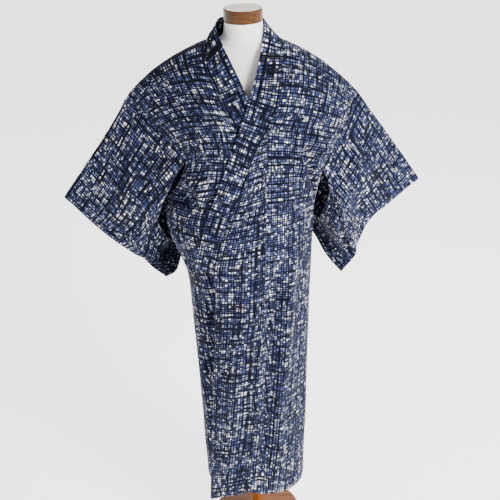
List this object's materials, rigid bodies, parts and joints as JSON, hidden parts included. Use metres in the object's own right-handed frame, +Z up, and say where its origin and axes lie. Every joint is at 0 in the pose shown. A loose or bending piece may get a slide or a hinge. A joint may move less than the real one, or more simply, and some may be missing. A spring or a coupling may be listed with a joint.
{
  "type": "cotton yukata robe on a limbless dress form and stand",
  "caption": "Unlined cotton yukata robe with square hanging sleeves, crossed left over right, worn by a limbless dress form on a round-footed stand.",
  "frame": {"origin": "centre of the base disc's underside, on the floor", "axes": "+Z up along the stand's pole; the robe's front faces -Y and the wearer's left is at +X"},
  "size_m": [1.0342, 0.3737, 1.7903],
  "materials": {
    "base_finish": "satin varnish",
    "pole_finish": "satin varnish",
    "form_cover": "matt jersey cover",
    "neck_cap_finish": "satin varnish",
    "indigo_cotton": "matt plain-woven cotton"
  },
  "bodies": {
    "root": {"base": "base_finish", "pole": "pole_finish", "torso": "form_cover", "neck_cap": "neck_cap_finish", "body_left": "indigo_cotton", "body_right": "indigo_cotton", "overlap_left": "indigo_cotton", "overlap_right": "indigo_cotton", "collar": "indigo_cotton", "sleeve_left": "indigo_cotton", "sleeve_right": "indigo_cotton"}
  },
  "joints": []
}
